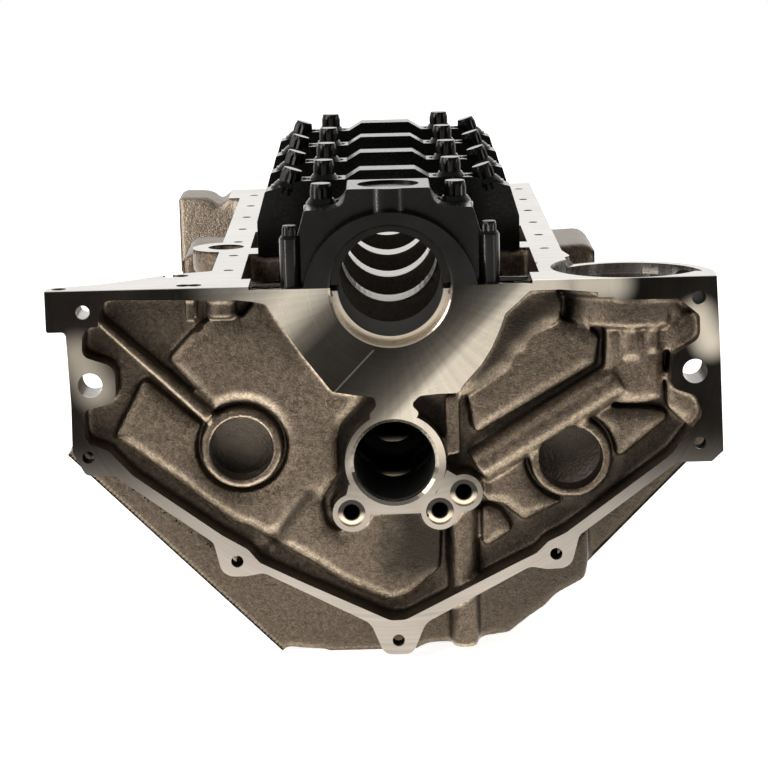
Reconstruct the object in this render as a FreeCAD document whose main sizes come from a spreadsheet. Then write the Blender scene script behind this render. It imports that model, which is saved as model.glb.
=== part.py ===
import FreeCAD, Part
import math
import os
import re

# Ninety degree V8 cylinder block, upside down with the crankcase open at the top.
# X runs across the block, Y from the rear (clutch housing) face to the front, Z up.
# The origin lies on the crank axis in the plane of the rear face.
# Millimetres and degrees.

doc = FreeCAD.newDocument("engine_block")
sheet = doc.addObject("Spreadsheet::Sheet", "Sizes")

DRIVING_SIZES = [
    ("main_pitch", 111.76, "spacing of the five main bearings, also of the cylinders"),
    ("rear_main", 50.8, "rear face to the middle of the rear main bearing"),
    ("front_overhang", 25.2, "middle of the front main bearing to the front face"),
    ("cam_drop", 114.83, "crank axis to cam axis"),
    ("deck_height", 229.24, "crank axis to the deck, along a cylinder"),
    ("bank_stagger", 22.35, "right bank stands this far ahead of the left one"),
    ("cylinder_bore", 101.6, "cylinder diameter"),
    ("jacket_start", 26.5, "rear face to the water space behind the core plugs"),
    ("jacket_barrel", 57.5, "cylinder axis to that water space"),
    ("bank_end", 69.0, "end cylinder axis to the end wall of its bank"),
    ("jacket_side", 68.0, "cylinder axis to the outer jacket wall"),
    ("deck_inside", 70.0, "cylinder axis to the valley edge of the deck"),
    ("jacket_shelf", 125.0, "crank axis to the underside of the jacket, along a cylinder"),
    ("bore_mouth", 80.0, "crank axis to the crankcase end of a cylinder"),
    ("rail_rise", 2.0, "pan rail above the crank axis"),
    ("rail_outer", 118.0, "centre plane to the outer edge of the pan rail"),
    ("rail_inner", 97.0, "centre plane to the inner edge of the pan rail"),
    ("rail_thick", 12.0, "thickness of the pan rail lip"),
    ("case_side", 110.0, "centre plane to the crankcase wall"),
    ("main_bore", 67.06, "main bearing housing diameter"),
    ("web_width", 28.0, "width of a bearing saddle"),
    ("seal_bore", 77.4, "rear seal housing diameter"),
    ("seal_depth", 14.0, "depth of the rear seal housing"),
    ("cam_bore", 53.0, "cam bearing housing diameter"),
    ("cam_boss", 72.0, "outside diameter of the cam tunnel"),
    ("cam_chamber", 61.0, "cam tunnel between its bearings, diameter"),
    ("cam_land", 65.4, "machined ring round the rear cam bore, diameter"),
    ("lifter_bore", 21.4, "lifter bore diameter"),
    ("lifter_spread", 44.0, "spacing of the two lifters of a cylinder"),
    ("lifter_top", 165.0, "crank axis to the top of the lifter bosses, along a lifter"),
    ("lifter_wall", 16.5, "lifter axis to the side of its boss row"),
    ("china_rail", 248.0, "crank axis down to the valley end rails"),
    ("china_half", 77.0, "half length of a valley end rail"),
    ("china_thick", 23.0, "thickness of a valley end wall"),
    ("flange_thick", 14.0, "clutch housing flange thickness"),
    ("recess_deep", 24.0, "rear face to the floor of the cast recess"),
    ("recess_back", 32.0, "rear face to the back of the recess wall"),
    ("plateau_deep", 11.0, "rear face to the raised cast fields in the recess"),
    ("swell_deep", 7.0, "rear face to the swells beside the machined faces"),
    ("gallery_tube", 24.0, "diameter of the cast oil gallery tube in the recess"),
    ("flange_bolt", 8.0, "tapped hole in the clutch housing flange"),
    ("flange_dowel", 15.9, "dowel hole in the clutch housing flange"),
    ("top_bolt_x", 197.0, "flange bolts beside the pan rail, off centre"),
    ("top_bolt_z", 11.8, "and below the crank axis"),
    ("dowel_x", 194.3, "flange dowels, off centre"),
    ("dowel_z", 59.4, "and below the crank axis"),
    ("low_bolt_x", 197.5, "lower side flange bolts, off centre"),
    ("low_bolt_z", 106.7, "and below the crank axis"),
    ("mid_bolt_x", 103.75, "flange bolts on the V, off centre"),
    ("mid_bolt_z", 178.2, "and below the crank axis"),
    ("tip_bolt_z", 234.0, "bolt at the foot of the V, below the crank axis"),
    ("core_plug", 41.3, "core plug hole diameter"),
    ("core_groove", 3.5, "width of the groove round that ring"),
    ("core_land", 53.0, "ring round a core plug hole, diameter"),
    ("pan_bolt", 6.5, "pan rail tapped hole"),
    ("pan_bolt_x", 107.1, "pan rail bolts, off centre"),
    ("pan_bolt_start", 74.5, "rear face to the first pan rail bolt"),
    ("pan_bolt_pitch", 67.5, "spacing of the pan rail bolts"),
    ("starter_bolt", 9.5, "starter bolt hole"),
    ("core_left_x", 99.0, "left rear core plug hole, off centre"),
    ("core_left_z", 105.0, "and below the crank axis"),
    ("core_right_x", 114.5, "right rear core plug hole, off centre"),
    ("core_right_z", 116.5, "and below the crank axis"),
    ("gallery_bore", 10.6, "oil gallery drilling"),
    ("gallery_seat", 18.0, "seat of a gallery plug, diameter"),
    ("gallery_ear", 24.6, "boss round a gallery plug, diameter"),
    ("cap_half", 90.5, "half width of a main cap"),
    ("cap_thick", 24.0, "thickness of a main cap along the crank"),
    ("cap_top", 58.0, "height of a main cap"),
    ("cap_fit", 0.2, "clearance of a cap in its register"),
    ("inner_bolt", 12.7, "inner main bolt shank"),
    ("inner_bolt_x", 43.7, "inner main bolts, off centre"),
    ("inner_seat", 47.0, "seat of the inner bolts above the crank axis"),
    ("outer_bolt", 11.1, "splayed outer main bolt shank"),
    ("outer_seat_x", 70.0, "seat of a splayed bolt, off centre"),
    ("outer_seat_z", 42.0, "seat of a splayed bolt above the crank axis"),
    ("splay", 17.0, "lean of the outer bolts"),
    ("bolt_sink", 46.0, "depth of a main bolt below the crank axis"),
    ("rear_seat", 44.0, "seat of the inner bolts on the rear cap"),
    ("rear_cap_top", 61.5, "height of the rear cap"),
    ("rear_column_x", 63.9, "columns of the rear cap, off centre"),
    ("rear_column_y", 12.0, "rear face to the columns of the rear cap"),
    ("rear_column_top", 30.0, "height of the columns"),
    ("rear_column", 13.4, "column diameter"),
    ("rear_outer_bolt", 8.0, "shank of the bolts in the columns"),
    ("bolt_head", 14.6, "twelve point head across its points"),
    ("bolt_flange", 20.4, "flange under a bolt head"),
    ("head_rise", 11.0, "height of the twelve point part"),
    ("flange_rise", 3.5, "height of the flange part"),
    ("washer", 23.4, "washer diameter"),
    ("washer_thick", 3.0, "washer thickness"),
    ("spot_face", 25.0, "spot face diameter under a washer"),
    ("filter_x", 156.0, "oil filter recess, off centre"),
    ("filter_y", 53.0, "oil filter recess, from the rear face"),
    ("filter_bore", 101.0, "oil filter recess diameter"),
    ("filter_boss", 116.0, "outside diameter of the filter rim"),
    ("filter_body", 104.5, "outside diameter of the filter housing below its rim"),
    ("filter_well", 82.0, "inner well of the filter recess, diameter"),
    ("filter_lip", 10.0, "underside of the filter rim below the crank axis"),
    ("filter_step", 9.5, "step inside the filter recess below the crank axis"),
    ("filter_foot", 31.0, "underside of the filter housing below the crank axis"),
    ("filter_rim", 3.6, "rim of the filter housing below the crank axis"),
    ("filter_deep", 22.0, "floor of the filter recess below the crank axis"),
    ("head_bolt", 9.4, "tapped hole for a head bolt"),
    ("head_bolt_deep", 42.0, "depth of a head bolt hole"),
    ("head_row", 63.0, "cylinder axis to the inner and outer head bolt rows"),
    ("mount_face", 149.0, "centre plane to the side mount pads"),
    ("mount_start", 236.0, "rear face to the side mount pads"),
    ("mount_long", 94.0, "length of a side mount pad"),
    ("mount_bolt", 10.0, "tapped hole in a side mount pad"),
    ("pump_face", 167.0, "centre plane to the fuel pump pad"),
    ("pump_long", 58.0, "length of the fuel pump pad block"),
    ("front_land", 4.0, "height of the machined lands on the front wall"),
    ("shank_fit", 0.05, "clearance round a bolt in its thread"),
    ("cap_hole_fit", 0.3, "clearance round a bolt in its cap"),
]
CYLINDERS_PER_BANK = 4
MAINS = 5
PAN_BOLTS = 7
SIDES = (("left", -1), ("right", 1))
OVERCUT = 1.0

for row, (alias, value, note) in enumerate(DRIVING_SIZES, 1):
    sheet.set("A%d" % row, note)
    sheet.set("B%d" % row, str(value))
    sheet.setAlias("B%d" % row, alias)
doc.recompute()
ALIASES = set(alias for alias, value, note in DRIVING_SIZES)
ROOT2 = math.sqrt(2.0)


def size(alias):
    return float(getattr(sheet, alias))


def linked(formula):
    """A formula in the sheet's aliases, written the way an expression reads it."""
    def link(match):
        word = match.group(0)
        return "Sizes." + word if word in ALIASES else word
    return re.sub(r"[a-z_][a-z_0-9]*", link, str(formula))


def bind(obj, **formulas):
    for prop, formula in formulas.items():
        obj.setExpression(prop.replace("__", "."), linked(formula))
    return obj


def place(obj, x, y, z, rotation=None):
    if rotation is not None:
        obj.Placement = FreeCAD.Placement(FreeCAD.Vector(), rotation)
    return bind(obj, Placement__Base__x=x, Placement__Base__y=y, Placement__Base__z=z)


def turn_to(direction):
    return FreeCAD.Rotation(FreeCAD.Vector(0, 0, 1), FreeCAD.Vector(*direction))


def rod(name, diameter, length, at, direction=(0, 1, 0)):
    """A round bar or hole from a point along a direction."""
    obj = doc.addObject("Part::Cylinder", name)
    bind(obj, Radius="(%s) / 2" % diameter, Height=length)
    return place(obj, at[0], at[1], at[2], turn_to(direction))


def taper(name, first, last, length, at, direction=(0, 1, 0)):
    obj = doc.addObject("Part::Cone", name)
    bind(obj, Radius1="(%s) / 2" % first, Radius2="(%s) / 2" % last, Height=length)
    return place(obj, at[0], at[1], at[2], turn_to(direction))


def slab(name, low, span):
    """A box from its lowest corner."""
    obj = doc.addObject("Part::Box", name)
    bind(obj, Length=span[0], Width=span[1], Height=span[2])
    return place(obj, low[0], low[1], low[2])


def rounded(corners):
    """Lines and arcs of a closed outline; a corner is (a, b, radius), less where a side is short."""
    points = [FreeCAD.Vector(a, b, 0) for a, b, radius in corners]
    turns = []
    reaches = []
    for index, here in enumerate(points):
        radius = corners[index][2]
        back = (points[index - 1] - here).normalize()
        ahead = (points[(index + 1) % len(points)] - here).normalize()
        half = back.getAngle(ahead) / 2
        turns.append((back, ahead, half))
        reaches.append(0 if radius <= 0 or half > math.radians(89) else radius / math.tan(half))
    for index, here in enumerate(points):
        side = (here - points[index - 1]).Length
        wanted = reaches[index - 1] + reaches[index]
        if wanted > side:
            reaches[index - 1] *= 0.98 * side / wanted
            reaches[index] *= 0.98 * side / wanted
    arcs = []
    for here, (back, ahead, half), reach in zip(points, turns, reaches):
        if reach == 0:
            arcs.append((here, None, here))
            continue
        inward = (back + ahead).normalize()
        centre = here + inward * (reach / math.cos(half))
        arcs.append((here + back * reach, centre - inward * (reach * math.tan(half)), here + ahead * reach))
    edges = []
    for index, (first, middle, last) in enumerate(arcs):
        edges.append(Part.LineSegment(arcs[index - 1][2], first))
        if middle is not None:
            edges.append(Part.Arc(first, middle, last))
    return edges


def outline(name, corners):
    obj = doc.addObject("Sketcher::SketchObject", name + "_outline")
    for edge in rounded(corners):
        obj.addGeometry(edge, False)
    return obj


def extrusion(name, sketch, direction, length):
    obj = doc.addObject("Part::Extrusion", name)
    obj.Base = sketch
    obj.DirMode = "Custom"
    obj.Dir = FreeCAD.Vector(*direction)
    obj.Solid = True
    return bind(obj, LengthFwd=length)


def cross(name, corners, start, length):
    """An outline in X and Z, carried forward along the block from start."""
    sketch = outline(name, corners)
    place(sketch, 0, start, 0, FreeCAD.Rotation(FreeCAD.Vector(1, 0, 0), 90))
    return extrusion(name, sketch, (0, 1, 0), length)


def plan(name, corners, bottom, height):
    """An outline in X and Y, carried up from its bottom."""
    sketch = outline(name, corners)
    place(sketch, 0, 0, bottom)
    return extrusion(name, sketch, (0, 0, 1), height)


def fused(name, parts):
    obj = doc.addObject("Part::MultiFuse", name)
    obj.Shapes = parts
    return obj


def less(name, base, tools):
    """The base with every tool cut from it."""
    if len(tools) == 1:
        tool = tools[0]
    else:
        tool = doc.addObject("Part::Compound", name + "_tools")
        tool.Links = tools
    obj = doc.addObject("Part::Cut", name)
    obj.Base = base
    obj.Tool = tool
    return obj


def bank_point(side, along, inward, radius=0):
    """A corner from its distances along a cylinder and from its axis to the valley."""
    return (side * (along - inward) / ROOT2, -(along + inward) / ROOT2, radius)


def main_y(number):
    """Main bearings are numbered from the front."""
    return "rear_main + %d * main_pitch" % (MAINS - number)


def cylinder_y(side, number):
    """Cylinders of a bank are numbered from the rear."""
    return "rear_main + %s * main_pitch + %s * bank_stagger" % (number + 0.5, side * 0.5)


BLOCK_LENGTH = "rear_main + %d * main_pitch + front_overhang" % (MAINS - 1)


def mirrored(corners):
    """A right half outline, listed from the top down, completed on the left."""
    return corners + [(-a, b, radius) for a, b, radius in reversed(corners)]


# Main masses of the casting

def crankcase():
    rise = size("rail_rise")
    outer = size("rail_outer")
    wall = size("case_side")
    lip = rise - size("rail_thick")
    half = [(outer, rise, 0), (outer, lip, 3), (wall, lip - 6, 4), (wall, -62, 0), (70, -118, 0)]
    return cross("crankcase", mirrored(half), "recess_back - 2",
                 BLOCK_LENGTH + " - front_land - recess_back + 2")


def bank(label, side):
    deck = size("deck_height")
    outside = -size("jacket_side")
    inside = size("deck_inside")
    shelf = size("jacket_shelf")
    corners = [
        bank_point(side, shelf, outside, 8),
        bank_point(side, deck - 14, outside, 3),
        bank_point(side, deck - 10, outside - 5, 2),
        bank_point(side, deck, outside - 5),
        bank_point(side, deck, inside + 6),
        bank_point(side, deck - 12, inside + 6, 3),
        bank_point(side, deck - 18, inside, 3),
        bank_point(side, 90, inside),
        bank_point(side, 90, -30),
        bank_point(side, shelf, -46),
    ]
    start = cylinder_y(side, 0) + " - bank_end"
    end = cylinder_y(side, CYLINDERS_PER_BANK - 1) + " + bank_end"
    if side > 0:
        end = BLOCK_LENGTH + " - front_land"
    return cross("bank_" + label, corners, start, "(%s) - (%s)" % (end, start))


def lifter_row(label, side):
    middle = size("cam_drop") / ROOT2
    wall = size("lifter_wall")
    corners = [
        bank_point(side, 95, middle - wall),
        bank_point(side, size("lifter_top"), middle - wall),
        bank_point(side, size("lifter_top"), middle + wall, 4),
        bank_point(side, 95, middle + wall),
    ]
    start = cylinder_y(side, 0) + " - bank_end + 5"
    length = "%d * main_pitch + 2 * bank_end - 10" % (CYLINDERS_PER_BANK - 1)
    return cross("lifter_row_" + label, corners, start, length)


def valley_ends():
    deck = size("deck_height")
    rail = -size("china_rail")
    half = size("china_half")
    crown = deck * ROOT2
    chamfer_z = half - crown
    rear = [
        (-half, rail + 3, 0),
        (-46, rail, 0),
        (12, rail, 0),
        (22, rail + 3.5, 3),
        (52, rail + 4, 2),
        (58, rail + 7.5, 4),
        (73, rail + 8.5, 4),
        (86, 86 + 9.2 - crown, 8),
        (98, 98 + 5.2 - crown, 8),
        (104, 104 + 6.2 - crown, 6),
        (125, 125 - 3.3 - crown, 5),
        (127, 127 + 9.2 - crown, 3),
        (127, -150, 0),
        (0, -60, 0),
        bank_point(-1, 120, -60),
        bank_point(-1, deck, -60),
        (-half, chamfer_z, 0),
    ]
    end_left = bank_point(-1, deck, -56)
    end_right = bank_point(1, deck, -56)
    outer = size("rail_outer")
    rise = size("rail_rise")
    front = [
        (-half, rail, 0),
        (half, rail, 0),
        (half, chamfer_z, 0),
        end_right,
        bank_point(1, 140, -56, 8),
        (outer, -62, 8),
        (outer, rise, 0),
        (-outer, rise, 0),
        (-outer, -62, 8),
        bank_point(-1, 140, -56, 8),
        end_left,
        (-half, chamfer_z, 0),
    ]
    left_start = cylinder_y(-1, 0) + " - bank_end"
    return [
        cross("valley_rear", rear, left_start, "china_thick"),
        cross("valley_front", front, BLOCK_LENGTH + " - front_land - china_thick + 4",
              "china_thick - 4"),
    ]


def flange_corners():
    """Outer outline of the clutch housing flange."""
    rise = size("rail_rise")
    mid_x = size("mid_bolt_x")
    mid_z = -size("mid_bolt_z")
    low_x = size("low_bolt_x")
    low_z = -size("low_bolt_z")
    tip = -size("tip_bolt_z")
    return [
        (-221, rise, 0),
        (-221, -24.5, 1.5),
        (-208.5, -24.5, 3),
        (-207, -72, 20),
        (-low_x - 10, low_z + 4, 6),
        (-low_x - 2, low_z - 12, 5),
        (-low_x + 15.5, low_z - 12, 6),
        (-mid_x - 15, mid_z + 13, 7),
        (-mid_x - 9.5, mid_z - 10, 9.5),
        (-mid_x + 6, mid_z - 10, 5),
        (-mid_x + 17, mid_z - 8, 9),
        (-18, tip + 12, 12),
        (-9.2, tip - 9.5, 7.5),
        (9.2, tip - 9.5, 7.5),
        (18, tip + 11.5, 12),
        (mid_x - 17, mid_z - 8, 9),
        (mid_x - 6, mid_z - 10, 5),
        (mid_x + 9.5, mid_z - 9.5, 9.5),
        (mid_x + 15, mid_z + 12, 7),
        (low_x - 14.5, low_z - 12.3, 4),
        (low_x + 7.5, low_z - 12.3, 0),
        (low_x + 15, low_z - 5.5, 0),
        (210.5, -46, 60),
        (208.3, rise, 0),
    ]


def recess_corners():
    """Inner outline of the flange: the cast recess inside its machined faces."""
    mid_x = size("mid_bolt_x")
    mid_z = -size("mid_bolt_z")
    low_x = size("low_bolt_x")
    low_z = -size("low_bolt_z")
    tip = -size("tip_bolt_z")
    strip = -5.2
    cam = -size("cam_drop")
    return [
        (-98, strip - 1, 3),
        (-186, strip + 1, 9),
        (-187.5, -21.5, 2),
        (-197.6, -21.5, 8),
        (-198.8, -40.5, 6),
        (-178, -47.5, 9),
        (-178, -71, 9),
        (-200.5, -76, 7),
        (-199, -97, 7),
        (-low_x + 12.5, low_z + 4.5, 5),
        (-low_x + 28, low_z - 12.5, 9),
        (-mid_x - 9, mid_z + 17.5, 5),
        (-mid_x + 7, mid_z + 8, 7),
        (-mid_x + 14.5, mid_z - 1.2, 6),
        (-mid_x + 40, mid_z - 14, 20),
        (-5, tip + 13.5, 12),
        (5, tip + 13.8, 12),
        (mid_x - 27, mid_z - 6, 20),
        (mid_x - 12.5, mid_z + 1, 6),
        (mid_x - 5, mid_z + 8.5, 7),
        (mid_x + 6.5, mid_z + 14, 6),
        (low_x - 19, low_z - 7.5, 9),
        (low_x - 9.3, low_z + 5, 6),
        (199, -88, 6),
        (194.5, -75, 7),
        (178.5, -70, 8),
        (179.5, -49, 9),
        (197.5, -38, 8),
        (197.5, -23, 5),
        (184, -12, 4),
        (146, -12, 5),
        (136, -7, 8),
        (108, -4.2, 8),
        (89, -4.6, 4),
        (81, -12, 4),
        (73, -19, 6),
        (69, -30, 8),
        (64, -41, 8),
        (57, -52, 6),
        (46, -64, 5),
        (42, -70, 5),
        (28, -70.3, 5),
        (17, -71.3, 6),
        (11.3, -77, 3),
        (18, -83.5, 3),
        (11, cam + 27.5, 0),
        (-10, cam + 27.5, 0),
        (-18, -84.5, 3),
        (-10.5, -78, 3),
        (-12, -71.5, 3),
        (-24, -70, 6),
        (-39, -67.5, 6),
        (-56, -45, 10),
        (-67.5, -28, 6),
        (-77, -14, 5),
        (-80.5, -8.5, 3),
    ]


def pan_side_plates():
    """Thick plates level with the pan rail, beside the rear main bearing."""
    rise = size("rail_rise")
    left = [
        (-221, 0, 0),
        (-90, 0, 0),
        (-90, 86, 0),
        (-118, 86, 0),
        (-118, 73, 4),
        (-131, 68, 20),
        (-150, 59, 30),
        (-168, 42, 60),
        (-190, 26, 60),
        (-221, 15.5, 1.5),
    ]
    right = [
        (208.3, 0, 0),
        (90, 0, 0),
        (90, 130, 0),
        (118, 130, 0),
        (122, 104, 8),
        (112, 88, 10),
        (112, 40, 0),
        (206, 22, 0),
        (208.3, 14, 2),
    ]
    bottom = "rail_rise - 8"
    return [plan("starter_plate", left, bottom, "8"), plan("filter_plate", right, bottom, "8")]


def rear_shield():
    """The thin walled tub that closes the flange round the recess."""
    corners = flange_corners()
    shield = [(-205, -4, 4), (-205, -100, 8)]
    shield += [corners[6], corners[7]]
    shield += [(-size("mid_bolt_x") + 2, -size("mid_bolt_z") - 8, 6), corners[10]]
    shield += [corners[11], (0, -size("tip_bolt_z") + 4, 8), corners[14], corners[15]]
    shield += [(size("mid_bolt_x") - 2, -size("mid_bolt_z") - 8, 6), corners[18]]
    shield += [corners[19], (205, -100, 8), (205, -4, 4)]
    return cross("rear_shield", shield, "0", "recess_back")


def filter_housing():
    foot = ("filter_x", "filter_y", "-filter_foot")
    shoulder = ("filter_x", "filter_y", "-filter_lip")
    return [rod("filter_body_wall", "filter_body", "filter_foot - filter_lip", foot, (0, 0, 1)),
            rod("filter_rim_wall", "filter_boss", "filter_lip - filter_rim", shoulder, (0, 0, 1))]


def side_mounts():
    face = size("mount_face")
    parts = []
    for label, side in SIDES:
        corners = [
            (side * 100, -12, 0),
            (side * (face - 6), -9, 3),
            (side * face, -14, 2),
            (side * face, -56, 0),
            (side * 100, -56, 0),
        ]
        parts.append(cross("mount_" + label, corners, "mount_start", "mount_long"))
    return parts


def fuel_pump_block():
    face = size("pump_face")
    corners = [
        (-100, 2, 0),
        (-128, 2, 2),
        (-131, -2, 2),
        (-137, -5, 4),
        (-141, 2.6, 1.5),
        (-face, 3.4, 2),
        (-face, -58, 4),
        (-150, -72, 6),
        (-100, -72, 0),
    ]
    start = BLOCK_LENGTH + " - pump_long - 1"
    return cross("fuel_pump_block", corners, start, "pump_long")


def head_bolt_columns():
    """Cast columns on the jacket side under the outer row of head bolts."""
    parts = []
    deck = size("deck_height")
    for label, side in SIDES:
        direction = (side / ROOT2, 0, -1 / ROOT2)
        for number in range(CYLINDERS_PER_BANK + 1):
            x, z = bank_point(side, deck - 66, 1 - size("jacket_side"))[:2]
            y = cylinder_y(side, number) + " - main_pitch / 2"
            if number == 0:
                y += " + 10"
            if number == CYLINDERS_PER_BANK:
                y += " - 10"
            name = "bolt_column_%s_%d" % (label, number + 1)
            parts.append(rod(name, "17", "58", (x, y, z), direction))
    return parts


def body_masses():
    parts = [crankcase(), rear_shield(), fuel_pump_block()]
    parts += [bank(label, side) for label, side in SIDES]
    parts += [lifter_row(label, side) for label, side in SIDES]
    parts += valley_ends()
    parts += pan_side_plates()
    parts += side_mounts()
    parts += head_bolt_columns()
    parts.append(cross("flange", flange_corners(), "0", "flange_thick"))
    parts.append(rod("cam_tunnel", "cam_boss", BLOCK_LENGTH + " - recess_back",
                     ("0", "recess_back - 2", "-cam_drop")))
    parts.append(plan("rail_boss", [(-138, 208, 23), (-138, 161, 23), (-100, 161, 0), (-100, 208, 0)],
                      "rail_rise - 18", "18"))
    return parts


# Hollows of the casting

def crank_bays():
    inner = size("rail_inner")
    half = [(inner, 10, 0), (inner, -34, 12), (68, -72, 14), (30, -78.5, 0)]
    parts = []
    for number in range(MAINS, 1, -1):
        start = main_y(number) + " + web_width / 2"
        parts.append(cross("crank_bay_%d" % number, mirrored(half), start, "main_pitch - web_width"))
    return parts


def rear_side_pockets():
    inner = size("rail_inner")
    parts = []
    for label, side in SIDES:
        corners = [(side * 73, 10, 0), (side * inner, 10, 0), (side * inner, -34, 10),
                   (side * 84, -50, 6), (side * 73, -50, 6)]
        start = "recess_back + 3"
        length = "rear_main + web_width / 2 + %s - recess_back - 3" % OVERCUT
        parts.append(cross("rear_pocket_" + label, corners, start, length))
    return parts


def cylinders():
    parts = []
    for label, side in SIDES:
        direction = (side / ROOT2, 0, -1 / ROOT2)
        for number in range(CYLINDERS_PER_BANK):
            x = "%s * bore_mouth / sqrt(2)" % side
            at = (x, cylinder_y(side, number), "-bore_mouth / sqrt(2)")
            name = "cylinder_%s_%d" % (label, number + 1)
            length = "deck_height - bore_mouth + %s" % OVERCUT
            parts.append(rod(name, "cylinder_bore", length, at, direction))
    return parts


def lifter_bores():
    parts = []
    for label, side in SIDES:
        direction = (side / ROOT2, 0, -1 / ROOT2)
        for number in range(CYLINDERS_PER_BANK):
            for pair, shift in (("a", -0.5), ("b", 0.5)):
                y = cylinder_y(side, number) + " + %s * lifter_spread" % shift
                at = ("%s * 10" % side, y, "-cam_drop - 10")
                length = "lifter_top - cam_drop / sqrt(2)"
                name = "lifter_%s_%d%s" % (label, number + 1, pair)
                parts.append(rod(name, "lifter_bore", length, at, direction))
    return parts


def end_jackets():
    """Water spaces between the rear end wall of each bank and its first cylinder."""
    parts = []
    reach = size("core_plug") + 9
    for label, side in SIDES:
        corners = [bank_point(side, along, inward, 12)
                   for along, inward in ((124, -reach), (206, -reach), (206, reach), (124, reach))]
        depth = cylinder_y(side, 0) + " - jacket_barrel - jacket_start"
        parts.append(cross("end_jacket_" + label, corners, "jacket_start", depth))
    return parts


def cam_chambers():
    parts = []
    for number in range(MAINS, 1, -1):
        at = ("0", main_y(number) + " + web_width / 2 + 2", "-cam_drop")
        parts.append(rod("cam_chamber_%d" % number, "cam_chamber", "main_pitch - web_width - 4", at))
    return parts


def drain_holes():
    parts = []
    for number in range(MAINS, 1, -1):
        at = ("0", main_y(number) + " + main_pitch / 2", "-cam_drop - cam_boss / 2 - 8")
        parts.append(rod("drain_%d" % number, "18", "cam_boss / 2 + 8", at, (0, 0, 1)))
    return parts


# Relief in the recess of the rear face

def core_centre(label, side):
    return "%s * core_%s_x" % (side, label), "-core_%s_z" % label


def raised_fields():
    """Flat raised fields of the recess, with a groove left round each core plug boss."""
    fields = {
        "field_low_left": [(-181.5, -96.5, 4), (-161, -58, 3), (-126, -89, 6), (-74, -90, 0), (-37, -100, 0),
                           (-36.5, -124, 4), (-48, -142, 5), (-46, -158, 6), (-34, -166, 0), (-34, -198.2, 0),
                           (-52, -185.3, 5), (-82, -167.2, 5), (-96, -158.2, 5), (-106, -155, 6),
                           (-140, -127.3, 10)],
        "field_high_left": [(-144.5, -46, 4), (-136, -36.5, 6), (-123, -23.5, 5), (-114, -20, 5),
                            (-96, -19.6, 4), (-87, -9, 3), (-60, -9, 0), (-14, -68, 0), (-22, -79, 3),
                            (-34.5, -91.5, 6), (-37, -101.5, 0), (-72, -102, 0), (-92, -104, 0),
                            (-114.8, -82.4, 3)],
        "field_centre": [(-36, -163, 0), (-36, -197, 0), (-21, -204, 8), (-5, -210.8, 10), (8, -207, 8),
                         (28, -190.5, 4), (30, -150, 4), (20, -120, 0), (-20, -140, 0)],
        "field_high_right": [(48.5, -75, 3), (52.5, -100.5, 3), (131.5, -55.5, 3), (134, -38, 4),
                             (125, -31, 6), (108.6, -26, 6), (84, -34, 0), (62, -58, 0)],
        "field_low_right": [(57.5, -117, 4), (58, -144.5, 4), (71, -147.5, 5), (84, -159, 4),
                            (109, -146, 5), (114, -116, 0), (86, -109, 5)],
        "field_far_right": [(112, -112, 0), (129, -88, 4), (140, -84.8, 5), (162, -85.3, 5),
                            (176, -87.8, 3), (179, -92, 3), (147.5, -117.5, 4)],
        "field_small": [(56.5, -146.5, 3), (56.5, -174, 2.5), (61, -175, 2.5), (77, -164.5, 4),
                        (68, -150.5, 4)],
    }
    parts = [cross(name, corners, "plateau_deep", "recess_deep - plateau_deep + 1")
             for name, corners in sorted(fields.items())]
    grooves = []
    for label, side in SIDES:
        x, z = core_centre(label, side)
        grooves.append(rod("core_groove_" + label, "core_land + 2 * core_groove", "recess_deep",
                           (x, "plateau_deep - 2", z)))
    return less("raised_fields", fused("fields", parts), grooves)


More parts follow.
